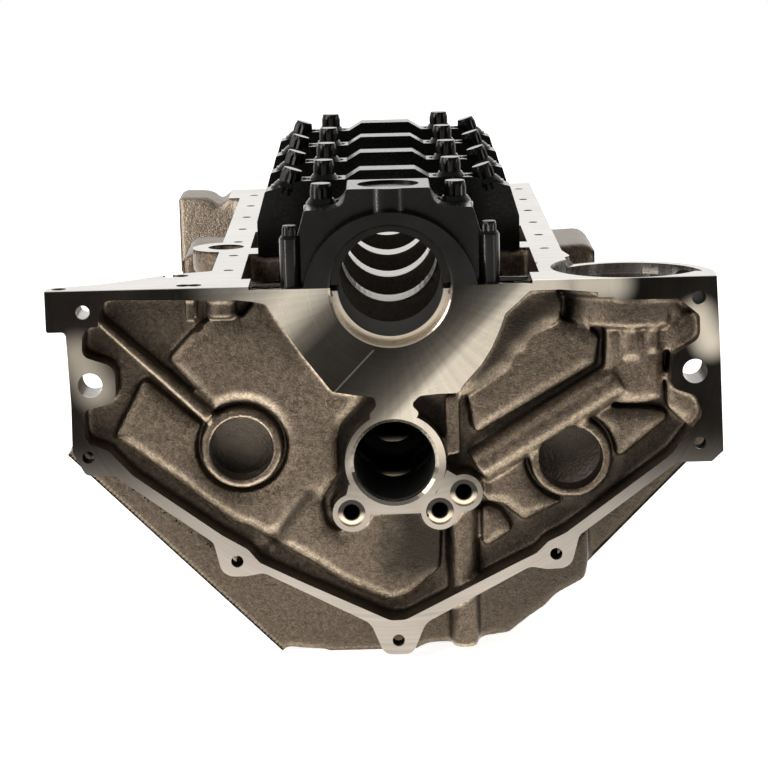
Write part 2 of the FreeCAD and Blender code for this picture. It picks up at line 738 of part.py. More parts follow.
def rear_relief():
    cam = -size("cam_drop")
    parts = [raised_fields()]
    swells = {
        "swell_under_rail": [(83, -3, 0), (105, -3, 4), (110, -15, 6), (108, -27, 6), (90, -33, 6),
                             (84, -44, 0), (66, -45, 0), (58, -40, 0), (70, -14, 0)],
        "swell_beside_fan": [(70, -30, 0), (88, -36, 0), (79.5, -44, 5), (75, -55, 6), (61, -65, 6),
                             (46, -75, 3), (36, -66, 0), (50, -48, 0)],
        "swell_far_right": [(175.3, -30, 0), (175.3, -43.5, 2), (182, -52, 0), (206, -48, 0), (206, -24, 0),
                            (188, -24, 5)],
        "swell_far_middle": [(177, -62, 0), (177, -84, 4), (189.5, -96.5, 4), (195.5, -93.5, 3),
                             (206, -80, 0), (190, -58, 0)],
    }
    parts += [cross(name, corners, "swell_deep", "recess_deep - swell_deep + 1")
              for name, corners in sorted(swells.items())]
    block = [(138, -33, 0), (137, -74, 5), (146.5, -81.4, 5), (160, -81.8, 6), (174, -79.2, 4),
             (175.2, -33, 0)]
    parts.append(cross("pillar_block", block, "swell_deep", "recess_deep - swell_deep + 1"))
    parts.append(cross("fin", [(-190, -20.5, 0), (-186, -17, 0), (-116, -81, 0), (-120.5, -87.5, 0)],
                       "3", "recess_deep - 2"))
    for label, side in SIDES:
        x, z = core_centre(label, side)
        parts.append(rod("core_boss_" + label, "core_land", "recess_deep - 7", (x, "8", z)))
    parts.append(rod("gallery_tube", "gallery_tube", "108", (54, "14", -121.5), (95, 0, 58)))
    parts.append(rod("oil_column", "19", "106", (44.3, "21", -244), (0, 0, 1)))
    parts.append(rod("neck_column", "11", "40", (38.2, "12.5", -113), (0, 0, 1)))
    for number, (x, foot, across) in enumerate(((153.7, -50.3, "14"), (168.2, -47, "12")), 1):
        parts.append(rod("filter_pillar_%d" % number, across, "20", (x, "11", foot), (0, 0, 1)))
    parts.append(rod("filter_ridge", "12", "28", (168.2, "11.5", -79), (0, 0, 1)))
    for number, (x, across, length) in enumerate(((-129, "14", "19"), (-109, "20", "16")), 1):
        parts.append(rod("starter_lump_%d" % number, across, length, (x, "14", "-%s - 3" % length), (0, 0, 1)))
    parts.append(rod("cam_land_ring", "cam_land", "recess_deep", ("0.6", "0", "-cam_drop")))
    for name, (x, z) in GALLERY_PORTS.items():
        parts.append(rod("gallery_ear_" + name, "gallery_ear", "recess_deep", (x, "0", z)))
    ear_web = [(-30, cam - 14, 0), (-14, cam - 22, 0), (14, cam - 24, 0), (26, cam - 22, 0),
               (34, cam - 6, 0), (44, cam - 12, 0), (50, cam - 28, 0), (34, cam - 42, 0),
               (18, cam - 34, 5), (-18, cam - 34, 5), (-36, cam - 40, 0)]
    parts.append(cross("gallery_web", ear_web, "0", "recess_deep"))
    return parts + filter_housing()


GALLERY_PORTS = {"left": (-28.6, -147.8), "middle": (28.7, -147.8), "right": (44.4, -136.0)}


def rear_holes():
    holes = []
    for label, side in SIDES:
        bolts = (("top", "top_bolt_x", "top_bolt_z", "flange_bolt + 1", 60),
                 ("dowel", "dowel_x", "dowel_z", "flange_dowel", 60),
                 ("low", "low_bolt_x", "low_bolt_z", "flange_bolt", 60),
                 ("mid", "mid_bolt_x", "mid_bolt_z", "flange_bolt", 22))
        for name, x, z, across, depth in bolts:
            at = ("%s * %s" % (side, x), -OVERCUT, "-" + z)
            holes.append(rod("flange_%s_%s" % (name, label), across, str(depth), at))
    holes.append(rod("flange_tip", "flange_bolt", "22", (0, -OVERCUT, "-tip_bolt_z")))
    for name, (x, z) in GALLERY_PORTS.items():
        holes.append(rod("gallery_seat_" + name, "gallery_seat", "4", (x, -OVERCUT, z)))
        holes.append(rod("gallery_hole_" + name, "gallery_bore", "60", (x, "2", z)))
    for label, side in SIDES:
        x, z = core_centre(label, side)
        holes.append(rod("core_hole_" + label, "core_plug", "20", (x, "7", z)))
    return holes


# The last four are two overlapping pairs, one for each starter size.
STARTER_HOLES = [(-212.8, 10.5), (-137, 55), (-144.5, 55), (-133, 13.5), (-126, 13.5)]


def rail_holes():
    holes = []
    for label, side in SIDES:
        for number in range(PAN_BOLTS):
            y = "pan_bolt_start + %d * pan_bolt_pitch" % number
            x = "%s * pan_bolt_x" % side
            if side > 0 and number == 0:
                x = "pan_bolt_x - 12"
            name = "pan_hole_%s_%d" % (label, number + 1)
            at = (x, y, "rail_rise - 18")
            holes.append(rod(name, "pan_bolt", "18 + %s" % OVERCUT, at, (0, 0, 1)))
    for number, (x, y) in enumerate(STARTER_HOLES, 1):
        at = (x, y, "rail_rise - 30")
        holes.append(rod("starter_hole_%d" % number, "starter_bolt", "30 + %s" % OVERCUT, at, (0, 0, 1)))
    holes.append(rod("rail_boss_hole", "25", "34 + %s" % OVERCUT, (-114.5, 185, "rail_rise - 34"),
                     (0, 0, 1)))
    return holes


def deck_holes():
    holes = []
    deck = size("deck_height")
    for label, side in SIDES:
        down = (-side / ROOT2, 0, 1 / ROOT2)
        for row, inward in (("inner", size("head_row")), ("outer", -size("head_row"))):
            for number in range(CYLINDERS_PER_BANK + 1):
                x, z = bank_point(side, deck + OVERCUT, inward)[:2]
                y = cylinder_y(side, number) + " - main_pitch / 2"
                name = "head_bolt_%s_%s_%d" % (label, row, number + 1)
                length = "head_bolt_deep + %s" % OVERCUT
                holes.append(rod(name, "head_bolt", length, (x, y, z), down))
        for number in range(CYLINDERS_PER_BANK):
            x, z = bank_point(side, deck + OVERCUT, -size("head_row") - 1)[:2]
            name = "head_bolt_%s_low_%d" % (label, number + 1)
            holes.append(rod(name, "head_bolt", "24", (x, cylinder_y(side, number), z), down))
    return holes


def side_holes():
    holes = []
    for label, side in SIDES:
        for number, (y, z) in enumerate(((16, -24), (78, -24), (47, -42)), 1):
            at = ("%s * (mount_face + %s)" % (side, OVERCUT), "mount_start + %d" % y, z)
            name = "mount_hole_%s_%d" % (label, number)
            holes.append(rod(name, "mount_bolt", "26", at, (-side, 0, 0)))
        for number in range(1, CYLINDERS_PER_BANK):
            x, z = bank_point(side, 160, -size("jacket_side") - 6)[:2]
            inward = (-side / ROOT2, 0, -1 / ROOT2)
            y = cylinder_y(side, number) + " - main_pitch / 2"
            name = "side_plug_%s_%d" % (label, number)
            holes.append(rod(name, "core_plug", "20", (x, y, z), inward))
    for number, (y, z) in enumerate(((14, -12), (14, -46)), 1):
        at = ("-pump_face - %s" % OVERCUT, BLOCK_LENGTH + " - %d - 14" % y, z)
        holes.append(rod("pump_hole_%d" % number, "8.5", "22", at, (1, 0, 0)))
    at = ("-pump_face - %s" % OVERCUT, BLOCK_LENGTH + " - 32", -29)
    holes.append(rod("pump_window", "24", "40", at, (1, 0, 0)))
    return holes


def filter_hollows():
    upper = ("filter_x", "filter_y", "-filter_step")
    lower = ("filter_x", "filter_y", "-filter_deep")
    return [rod("filter_recess", "filter_bore", "filter_step + 20", upper, (0, 0, 1)),
            rod("filter_well_room", "filter_well", "filter_deep", lower, (0, 0, 1)),
            rod("filter_outlet", "20", "24", ("filter_x", "filter_y", "-filter_deep - 4"), (0, 0, 1))]


def front_lands():
    """Machined lands of the front wall: timing cover ring and coolant pads."""
    cam = -size("cam_drop")
    top = size("rail_rise")
    start = BLOCK_LENGTH + " - front_land - 1"
    length = "front_land + 1"
    half = [(76, top, 0), (82, -20, 20), (74, -88, 30), (50, cam - 32, 20), (0, cam - 52, 0)]
    outer = half + [(-a, b, radius) for a, b, radius in reversed(half[:-1])]
    parts = [cross("timing_land", outer, start, length)]
    for label, side in SIDES:
        corners = [
            (side * 66, -166, 12),
            (side * 112, -122, 14),
            (side * 136, -146, 14),
            (side * 92, -192, 14),
        ]
        parts.append(cross("coolant_pad_" + label, corners, start, length))
    return parts


def front_holes():
    holes = []
    cam = -size("cam_drop")
    end = BLOCK_LENGTH + " + %s" % OVERCUT
    back = (0, -1, 0)
    places = [(72, -8), (75, -45), (66, -90), (42, cam - 30), (17, cam - 42)]
    for label, side in SIDES:
        for number, (x, z) in enumerate(places, 1):
            name = "cover_hole_%s_%d" % (label, number)
            holes.append(rod(name, "6.5", "18", (side * x, end, z), back))
        for number, (x, z) in enumerate(((80, -169), (119, -134)), 1):
            name = "coolant_bolt_%s_%d" % (label, number)
            holes.append(rod(name, "8.5", "24", (side * x, end, z), back))
        holes.append(rod("coolant_port_" + label, "30", "22", (side * 101.5, end, -157), back))
        holes.append(rod("front_gallery_" + label, "gallery_bore", "40", (side * 28.7, end, -147.8), back))
    return holes


def main_bolt_holes():
    """Tapped holes of the main bolts in the saddles."""
    holes = []
    for number in range(1, MAINS + 1):
        for label, side in SIDES:
            at = ("%s * inner_bolt_x" % side, main_y(number), "%s" % OVERCUT)
            name = "main_hole_%d_%s" % (number, label)
            holes.append(rod(name, "inner_bolt + 2 * shank_fit", "bolt_sink + 4", at, (0, 0, -1)))
    for number in range(1, MAINS):
        for label, side in SIDES:
            holes.append(splayed_rod("splay_hole_%d_%s" % (number, label), number, side,
                                     "outer_bolt + 2 * shank_fit", -1, "bolt_sink + outer_seat_z + 6"))
    for label, side in SIDES:
        at = ("%s * rear_column_x" % side, "rear_column_y", "%s" % OVERCUT)
        holes.append(rod("column_hole_" + label, "rear_outer_bolt + 2 * shank_fit", "28", at, (0, 0, -1)))
    return holes


def splay_direction(side, sense):
    lean = math.radians(size("splay"))
    return (-side * sense * math.sin(lean), 0, sense * math.cos(lean))


def splayed_rod(name, number, side, across, sense, length):
    """A bar on the axis of a splayed bolt, up or down from its seat."""
    at = ("%s * outer_seat_x" % side, main_y(number), "outer_seat_z")
    return rod(name, across, length, at, splay_direction(side, sense))


def bore_tools():
    length = BLOCK_LENGTH + " + 2"
    return [
        rod("crank_line", "main_bore", length, (0, -1, 0)),
        rod("cam_line", "cam_bore", length, (0, -1, "-cam_drop")),
        rod("seal_room", "seal_bore", "seal_depth + 1", (0, -1, 0)),
        taper("seal_chamfer", "seal_bore + 3", "seal_bore", "1.5", (0, -0.01, 0)),
        taper("cam_chamfer", "cam_bore + 4.5", "cam_bore", "2.2", (0, -0.01, "-cam_drop")),
    ]


def build_block():
    register = slab("register", ("-cap_half - cap_fit", -OVERCUT, "0"),
                    ("2 * (cap_half + cap_fit)", BLOCK_LENGTH + " + 2 * %s" % OVERCUT, "rail_rise + 5"))
    recess = cross("recess", recess_corners(), -OVERCUT, "recess_deep + %s" % OVERCUT)
    hollows = fused("cast_hollows", [recess, register] + crank_bays() + rear_side_pockets())
    body = less("cast_hollowed", fused("cast_body", body_masses()), [hollows])
    body = fused("cast_relief", [body] + rear_relief() + front_lands())
    trim = slab("rear_trim", (-300, -40, -300), (600, 40, 400))
    tools = [trim] + bore_tools() + cylinders() + cam_chambers() + end_jackets() + lifter_bores() + drain_holes()
    tools += filter_hollows() + rear_holes() + rail_holes() + deck_holes()
    tools += side_holes() + front_holes() + main_bolt_holes()
    return less("block", body, [fused("machining", tools)])


# Main bearing caps and their bolts

def main_cap(number):
    """Four bolt cap: flat crown, spot faces for the inner bolts, scooped seats for the splayed ones."""
    half = size("cap_half")
    top = size("cap_top")
    profile = [(19, top, 1), (29, top - 6, 1), (60, top - 6.5, 2), (half - 6, top - 13.5, 1.5),
               (half, 24, 3), (half, 0, 0)]
    start = main_y(number) + " - cap_thick / 2"
    name = "main_cap_%d" % number
    plate = cross(name + "_plate", mirrored(profile), start, "cap_thick")
    tools = [rod(name + "_bore", "main_bore", "cap_thick + 2", (0, start + " - 1", 0))]
    for label, side in SIDES:
        x = "%s * inner_bolt_x" % side
        y = main_y(number)
        tools.append(rod("%s_spot_%s" % (name, label), "spot_face", "20", (x, y, "inner_seat"), (0, 0, 1)))
        tools.append(rod("%s_hole_%s" % (name, label), "inner_bolt + 2 * cap_hole_fit", "inner_seat + 2",
                         (x, y, -1), (0, 0, 1)))
        tools.append(splayed_rod("%s_scoop_%s" % (name, label), number, side, "spot_face", 1, "30"))
        tools.append(splayed_rod("%s_lean_%s" % (name, label), number, side,
                                 "outer_bolt + 2 * cap_hole_fit", -1, "outer_seat_z + 10"))
    return less(name, plate, [fused(name + "_machining", tools)])


def rear_cap():
    """Rear cap: thick body, seal ring in front, raised crown and two outer columns."""
    top = size("rear_cap_top")
    name = "main_cap_%d" % MAINS
    body = [(27, top, 1.5), (27, 48.5, 11), (54, 48.5, 2), (60, 28, 12), (62, 0, 0)]
    ring_centre = -8.9
    ring = 56.5
    reach = math.sqrt(ring * ring - ring_centre * ring_centre)
    plate = cross(name + "_plate", mirrored(body), "seal_depth", "rear_main - seal_depth + web_width / 2")
    flat = doc.addObject("Sketcher::SketchObject", name + "_ring_outline")
    left = FreeCAD.Vector(-reach, 0, 0)
    right = FreeCAD.Vector(reach, 0, 0)
    flat.addGeometry(Part.LineSegment(left, right), False)
    flat.addGeometry(Part.Arc(right, FreeCAD.Vector(0, ring + ring_centre, 0), left), False)
    place(flat, 0, 0, 0, FreeCAD.Rotation(FreeCAD.Vector(1, 0, 0), 90))
    parts = [plate, extrusion(name + "_ring", flat, (0, 1, 0), "seal_depth + 1")]
    parts.append(rod(name + "_nose", "34", "18", (0, "28", "rear_cap_top - 18"), (0, 0, 1)))
    tools = [rod(name + "_bore", "main_bore", "rear_main + web_width", (0, -1, 0)),
             rod(name + "_seal", "seal_bore", "seal_depth + 1", (0, -1, 0)),
             taper(name + "_edge", "seal_bore + 3", "seal_bore", "1.5", (0, -0.01, 0)),
             rod(name + "_dish", "40", "6", (0, "40", "rear_cap_top - 2"), (0, 0, 1))]
    for label, side in SIDES:
        x = "%s * rear_column_x" % side
        parts.append(rod("%s_column_%s" % (name, label), "rear_column", "rear_column_top",
                         (x, "rear_column_y", 0), (0, 0, 1)))
        web = slab("%s_ear_%s" % (name, label), (x + " - 4", "rear_column_y", 0), (8, "14", 22))
        parts.append(web)
        tools.append(rod("%s_column_hole_%s" % (name, label), "rear_outer_bolt + 2 * cap_hole_fit",
                         "rear_column_top + 2", (x, "rear_column_y", -1), (0, 0, 1)))
        x = "%s * inner_bolt_x" % side
        tools.append(rod("%s_spot_%s" % (name, label), "spot_face", "30", (x, "rear_main", "rear_seat"),
                         (0, 0, 1)))
        tools.append(rod("%s_hole_%s" % (name, label), "inner_bolt + 2 * cap_hole_fit", "rear_seat + 2",
                         (x, "rear_main", -1), (0, 0, 1)))
    return less(name, fused(name + "_cast", parts), [fused(name + "_machining", tools)])


def star(radius):
    """Corners of a twelve point head: two hexagons turned by thirty degrees."""
    dip = radius * math.cos(math.radians(30)) / math.cos(math.radians(15))
    corners = []
    for step in range(24):
        reach = radius if step % 2 == 0 else dip
        angle = math.radians(15 * step)
        corners.append(FreeCAD.Vector(reach * math.cos(angle), reach * math.sin(angle), 0))
    return corners + corners[:1]


def bolt(shank, grip, scale=1.0):
    """A bolt whose head stands on the plane z = 0, its shank below."""
    flange = size("bolt_flange") / 2 * scale
    head = size("bolt_head") / 2 * scale
    low = size("flange_rise") * scale
    high = low + size("head_rise") * scale
    profile = [(0, -grip), (shank / 2 - 1, -grip), (shank / 2, -grip + 1), (shank / 2, 0), (flange, 0),
               (flange, low * 0.45), (head + 0.8 * scale, low + 1.2 * scale), (0, low + 1.2 * scale)]
    points = [FreeCAD.Vector(a, 0, b) for a, b in profile]
    turned = Part.Face(Part.makePolygon(points + points[:1]))
    turned = turned.revolve(FreeCAD.Vector(), FreeCAD.Vector(0, 0, 1), 360)
    wrench = Part.Face(Part.makePolygon(star(head))).extrude(FreeCAD.Vector(0, 0, high))
    crown = Part.makeCone(head + 2.4 * scale, head * 0.86, high, FreeCAD.Vector(0, 0, 0))
    return turned.fuse(wrench.common(crown)).removeSplitter()


def group(name, shape, placements):
    """Several like solids that share one node."""
    copies = []
    for placement in placements:
        copy = shape.copy()
        copy.Placement = placement
        copies.append(copy)
    obj = doc.addObject("Part::Feature", name)
    obj.Shape = Part.makeCompound(copies)
    return obj


def upright(x, y, z):
    return FreeCAD.Placement(FreeCAD.Vector(x, y, z), FreeCAD.Rotation())


def leaning(side, y, lift):
    """On the axis of a splayed bolt, lifted along it from the seat."""
    direction = FreeCAD.Vector(*splay_direction(side, 1))
    at = FreeCAD.Vector(side * size("outer_seat_x"), y, size("outer_seat_z")) + direction * lift
    return FreeCAD.Placement(at, turn_to(direction))


def cap_fasteners(number):
    y = size("rear_main") + (MAINS - number) * size("main_pitch")
    thick = size("washer_thick")
    sink = size("bolt_sink")
    inner_x = size("inner_bolt_x")
    seat = size("rear_seat") if number == MAINS else size("inner_seat")
    hole = size("inner_bolt") + 2 * size("shank_fit") + 1.0
    ring = Part.makeCylinder(size("washer") / 2, thick).cut(Part.makeCylinder(hole / 2, thick))
    inner = bolt(size("inner_bolt"), seat + thick + sink)
    rests = [upright(side * inner_x, y, seat + thick) for label, side in SIDES]
    washers = [upright(side * inner_x, y, seat) for label, side in SIDES]
    parts = [group("cap_%d_inner_bolts" % number, inner, rests)]
    if number == MAINS:
        scale = size("rear_column") / size("bolt_flange")
        outer = bolt(size("rear_outer_bolt"), size("rear_column_top") + 24, scale)
        rests = [upright(side * size("rear_column_x"), size("rear_column_y"), size("rear_column_top"))
                 for label, side in SIDES]
    else:
        outer = bolt(size("outer_bolt"), thick + size("outer_seat_z") + sink)
        rests = [leaning(side, y, thick) for label, side in SIDES]
        washers += [leaning(side, y, 0) for label, side in SIDES]
    parts.append(group("cap_%d_outer_bolts" % number, outer, rests))
    parts.append(group("cap_%d_washers" % number, ring, washers))
    return parts


subparts = [build_block()]
for cap_number in range(1, MAINS):
    subparts.append(main_cap(cap_number))
subparts.append(rear_cap())
doc.recompute()
for cap_number in range(1, MAINS + 1):
    subparts += cap_fasteners(cap_number)
doc.recompute()

for obj in doc.Objects:
    for word in ("Invalid", "Error"):
        if word in obj.State:
            raise RuntimeError("%s is %s" % (obj.Name, obj.State))
os.makedirs("parts", exist_ok=True)
for subpart in subparts:
    shape = subpart.Shape
    subpart.Label = subpart.Name
    if shape.isNull() or not shape.isValid() or not shape.Solids:
        raise RuntimeError("%s has no valid solid" % subpart.Name)
    shape.exportStep("parts/%s.step" % subpart.Name)
    print(subpart.Name, len(shape.Solids), "solids", round(shape.Volume / 1000.0, 1), "cm3")
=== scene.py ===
import math

import bmesh
import bpy
import numpy as np
from mathutils import Matrix, Vector
from mathutils.bvhtree import BVHTree
from mathutils.kdtree import KDTree


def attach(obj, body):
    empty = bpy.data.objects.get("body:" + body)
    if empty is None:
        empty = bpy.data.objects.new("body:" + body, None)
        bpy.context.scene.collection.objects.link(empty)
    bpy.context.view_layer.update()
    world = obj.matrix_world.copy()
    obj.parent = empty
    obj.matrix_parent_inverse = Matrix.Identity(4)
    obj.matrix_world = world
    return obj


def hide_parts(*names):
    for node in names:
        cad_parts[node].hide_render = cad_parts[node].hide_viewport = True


# Looks of a bare V8 cylinder block, upside down, seen from its clutch housing face.
# The frame of the model: origin on the crank axis in the rear face, Z up, X to the right.
# Blender works in metres. Named sizes and places of the block are in millimetres.

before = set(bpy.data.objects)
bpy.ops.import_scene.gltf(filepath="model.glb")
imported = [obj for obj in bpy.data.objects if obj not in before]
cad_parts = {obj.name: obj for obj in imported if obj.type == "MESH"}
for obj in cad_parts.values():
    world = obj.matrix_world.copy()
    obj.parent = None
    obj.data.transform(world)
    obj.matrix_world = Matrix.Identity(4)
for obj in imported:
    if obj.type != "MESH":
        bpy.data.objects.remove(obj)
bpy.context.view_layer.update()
MM = 0.001
ROOT2 = math.sqrt(2.0)

# Sizes repeated from the model
PITCH = 111.76
REAR_MAIN = 50.8
FRONT_OVERHANG = 25.2
CYLINDERS_PER_BANK = 4
LENGTH = REAR_MAIN + CYLINDERS_PER_BANK * PITCH + FRONT_OVERHANG
CAM_Z = -114.83
STAGGER = 22.35
DECK = 229.24
RAIL = 2.0
REGISTER_FLOOR = 0.0
REGISTER_SIDE = 90.7
VALLEY_RAIL = 248.0
MOUNT_FACE = 149.0
PUMP_FACE = 167.0
CYLINDER_RADIUS = 50.8
LIFTER_RADIUS = 10.7
LIFTER_SHIFT = 22.0
MAIN_RADIUS = 33.53
SEAL_RADIUS = 38.7
CAM_RADIUS = 26.5
CORE_RADIUS = 20.65
DOWEL_RADIUS = 7.95
UPPER_RADIUS = 4.5
LOWER_RADIUS = 4.0
PORT_RADIUS = 5.3
PORT_SEAT_RADIUS = 9.0
FILTER_AT = (156, 53)
FILTER_RADII = (50.5, 41.0, 10.0)
FILTER_LEVELS = (-3.6, -9.5, -22.0)
FIELD_DEPTHS = (7.0, 11.0)
SIDES = (-1, 1)

# Holes of the rear face, in X and Z
CRANK = (0.0, 0.0)
CAM = (0.0, CAM_Z)
CORES = ((-99.0, -105.0), (114.5, -116.5))
PORTS = ((-28.6, -147.8), (28.7, -147.8), (44.4, -136.0))
DOWELS = ((-194.3, -59.4), (194.3, -59.4))
UPPER_LEFT = (-197.0, -11.8)
UPPER_RIGHT = (197.0, -11.8)
LOWER_HOLES = ((-197.5, -106.7), (197.5, -106.7), (-103.75, -178.2), (103.75, -178.2), (0.0, -234.0))

# Round prints in the cast skin, in X and Z
PRINTS = ((-62.6, -77.5), (-37.0, -75.5))

# A line along the middle of the flange, in X and Z: the cast recess lies inside it
RECESS = ((-203.5, -2), (-203.5, -100), (-200, -112), (-110, -184), (0, -228), (110, -184), (195, -112),
          (203, -100), (203, -2))

# Along Y, the recess ends here, then the rear and the middle of the cast skin
RECESS_END = 30
REAR_END = 44
MIDDLE_END = 300


def cylinder_y(side, number):
    return REAR_MAIN + (number + 0.5) * PITCH + side * 0.5 * STAGGER


# Node trees

class Nodes:
    """Short words for building a node tree. A slot takes a plain value or another node's output."""

    def __init__(self, tree):
        tree.nodes.clear()
        self.tree = tree

    def put(self, made, slots):
        for slot, value in slots.items():
            if isinstance(value, bpy.types.NodeSocket):
                self.tree.links.new(value, made.inputs[slot])
            else:
                made.inputs[slot].default_value = value

    def node(self, kind, slots=None):
        made = self.tree.nodes.new("ShaderNode" + kind)
        self.put(made, slots or {})
        return made

    def split(self, vector):
        """X, Y and Z of a vector, by their names."""
        return self.node("SeparateXYZ", {0: vector}).outputs

    def math(self, operation, *values):
        made = self.node("Math")
        made.operation = operation
        self.put(made, dict(enumerate(values)))
        return made.outputs[0]

    def times(self, first, *others):
        product = first
        for other in others:
            product = self.math("MULTIPLY", product, other)
        return product

    def linear(self, source, low, high, first=0.0, last=1.0):
        """The first value at low, the last at high, in a straight line between."""
        made = self.node("MapRange", {"Value": source, "From Min": low, "From Max": high,
                                      "To Min": first, "To Max": last})
        return made.outputs[0]

    def step(self, source, start, end):
        """0 at start, 1 at end, smooth between."""
        low, high = min(start, end), max(start, end)
        made = self.node("MapRange", {"Value": source, "From Min": low, "From Max": high,
                                      "To Min": float(start > end), "To Max": float(start < end)})
        made.interpolation_type = "SMOOTHSTEP"
        return made.outputs[0]

    def seen(self, by_camera, by_others):
        """One shader for the camera, another for all other rays."""
        ray = self.node("LightPath").outputs["Is Camera Ray"]
        slots = {0: ray, 1: by_others.outputs[0], 2: by_camera.outputs[0]}
        return self.node("MixShader", slots).outputs[0]


class Coat(Nodes):
    """A principled material laid out on the object's own coordinates."""

    def __init__(self, name):
        self.material = bpy.data.materials.new(name)
        self.material.use_nodes = True
        super().__init__(self.material.node_tree)
        self.shader = self.node("BsdfPrincipled")
        self.node("OutputMaterial", {"Surface": self.shader.outputs[0]})
        self.place = self.node("TexCoord").outputs["Object"]

    def noise(self, scale, detail=3.0, rough=0.55, place=None):
        made = self.node("TexNoise", {"Scale": scale, "Detail": detail, "Roughness": rough,
                                      "Vector": self.place if place is None else place})
        return made.outputs["Fac"]

    def ramp(self, source, stops):
        made = self.node("ValToRGB", {"Fac": source})
        first, last = made.color_ramp.elements[0], made.color_ramp.elements[-1]
        first.position, first.color = stops[0]
        last.position, last.color = stops[-1]
        for position, color in stops[1:-1]:
            made.color_ramp.elements.new(position).color = color
        return made.outputs["Color"]

    def tones(self, noise, low, high):
        """From one tone to another over the middle range of a noise."""
        return self.ramp(noise, ((0.3, low), (0.7, high)))

    def mix(self, factor, first, second, blend="MIX"):
        made = self.node("Mix")
        made.data_type = "RGBA"
        made.blend_type = blend
        self.put(made, {0: factor, 6: first, 7: second})
        return made.outputs[2]

    def multiply(self, first, second):
        return self.mix(1.0, first, second, "MULTIPLY")

    def with_painted_light(self, color, light_and_shade):
        """A colour under painted light and shade, laid on in turn: where each lies, its share and its tone.
        """
        for mask, share, tone in light_and_shade:
            color = self.mix(self.times(mask, share), color, tone)
        return color

    def bump(self, height, strength, distance, normal=None):
        slots = {"Height": height, "Strength": strength, "Distance": distance}
        if normal is not None:
            slots["Normal"] = normal
        return self.node("Bump", slots).outputs["Normal"]


class BlockCoat(Coat):
    """A material of the block, with masks at places in millimetres."""

    def __init__(self, name):
        super().__init__(name)
        self.at = self.split(self.place)
        self.facing = self.split(self.node("NewGeometry").outputs["Normal"])

    def along(self, axis, start, end):
        """0 at one place on an axis, 1 at another."""
        return self.step(self.at[axis], start * MM, end * MM)

    def radius(self, x, z):
        """Distance from a line along Y, in metres."""
        across = self.math("SUBTRACT", self.at["X"], x * MM)
        up = self.math("SUBTRACT", self.at["Z"], z * MM)
        return self.math("SQRT", self.math("ADD", self.times(across, across), self.times(up, up)))

    def near(self, centres, radius, soft):
        """1 within a radius of lines along Y, fading to 0 over a soft width."""
        total = 0.0
        for x, z in centres:
            part = self.step(self.radius(x, z), (radius + soft) * MM, radius * MM)
            total = self.math("MAXIMUM", total, part)
        return total

    def band(self, start, end, width):
        """1 on a line in X and Z, fading to 0 well outside its half width."""
        (x1, z1), (x2, z2) = start, end
        across, up = x2 - x1, z2 - z1
        square = (across ** 2 + up ** 2) * MM
        dx = self.math("SUBTRACT", self.at["X"], x1 * MM)
        dz = self.math("SUBTRACT", self.at["Z"], z1 * MM)
        share = self.math("ADD", self.times(dx, across / square), self.times(dz, up / square))
        share = self.math("MINIMUM", self.math("MAXIMUM", share, 0.0), 1.0)
        dx = self.math("SUBTRACT", dx, self.times(share, across * MM))
        dz = self.math("SUBTRACT", dz, self.times(share, up * MM))
        gap = self.math("SQRT", self.math("ADD", self.times(dx, dx), self.times(dz, dz)))
        return self.step(gap, 1.7 * width * MM, 0.0)


def grey(level, warm=0.0):
    return (level * (1 + warm), level, level * (1 - warm), 1)


# Camera, lamps, world and floor

# The camera: its place, degrees of pitch down, yaw and roll, and the lens
CAMERA_AT = (-0.005, -1.72, 0.2717)
CAMERA_TURN = (11.01, -0.02, -1.39)
CAMERA_LENS = 127.9


def make_camera():
    """The view of the photograph, facing the clutch housing face from a little above."""
    pitch, yaw, roll = (math.radians(angle) for angle in CAMERA_TURN)
    ahead = Vector((math.sin(yaw) * math.cos(pitch), math.cos(yaw) * math.cos(pitch), -math.sin(pitch)))
    right = Vector((math.cos(yaw), -math.sin(yaw), 0))
    up = right.cross(ahead)
    across = right * math.cos(roll) + up * math.sin(roll)
    above = up * math.cos(roll) - right * math.sin(roll)
    data = bpy.data.cameras.new("camera")
    data.sensor_width = 36.0
    data.lens = CAMERA_LENS
    data.clip_start = 0.1
    camera = bpy.data.objects.new("camera", data)
    bpy.context.scene.collection.objects.link(camera)
    turn = Matrix((across, above, -ahead)).transposed().to_4x4()
    camera.matrix_world = Matrix.Translation(CAMERA_AT) @ turn
    bpy.context.scene.camera = camera


# Lamps: name, place, target, width and height, watts, colour
LAMPS = (
    ("key", (-0.9, -1.1, 0.7), (0, 0.05, -0.08), (0.6, 0.5), 6.5, (1, 0.97, 0.92)),
    ("left_strip", (-1.2, -0.9, -0.05), (0, 0, -0.06), (0.12, 0.4), 3.5, (1, 0.97, 0.93)),
    ("right_strip", (1.2, -0.9, -0.05), (0, 0, -0.06), (0.12, 0.4), 1.0, (1, 0.97, 0.93)),
    ("left_side", (-1.5, -0.3, 0.6), (-0.15, 0.4, -0.05), (0.8, 0.8), 10.0, (1, 0.97, 0.92)))


def make_lamps():
    for name, place, target, size, power, color in LAMPS:
        data = bpy.data.lights.new(name, "AREA")
        data.shape = "RECTANGLE"
        data.size, data.size_y = size
        data.energy = power
        data.color = color
        lamp = bpy.data.objects.new(name, data)
        bpy.context.scene.collection.objects.link(lamp)
        lamp.location = place
        lamp.rotation_euler = (Vector(target) - Vector(place)).to_track_quat("-Z", "Y").to_euler()


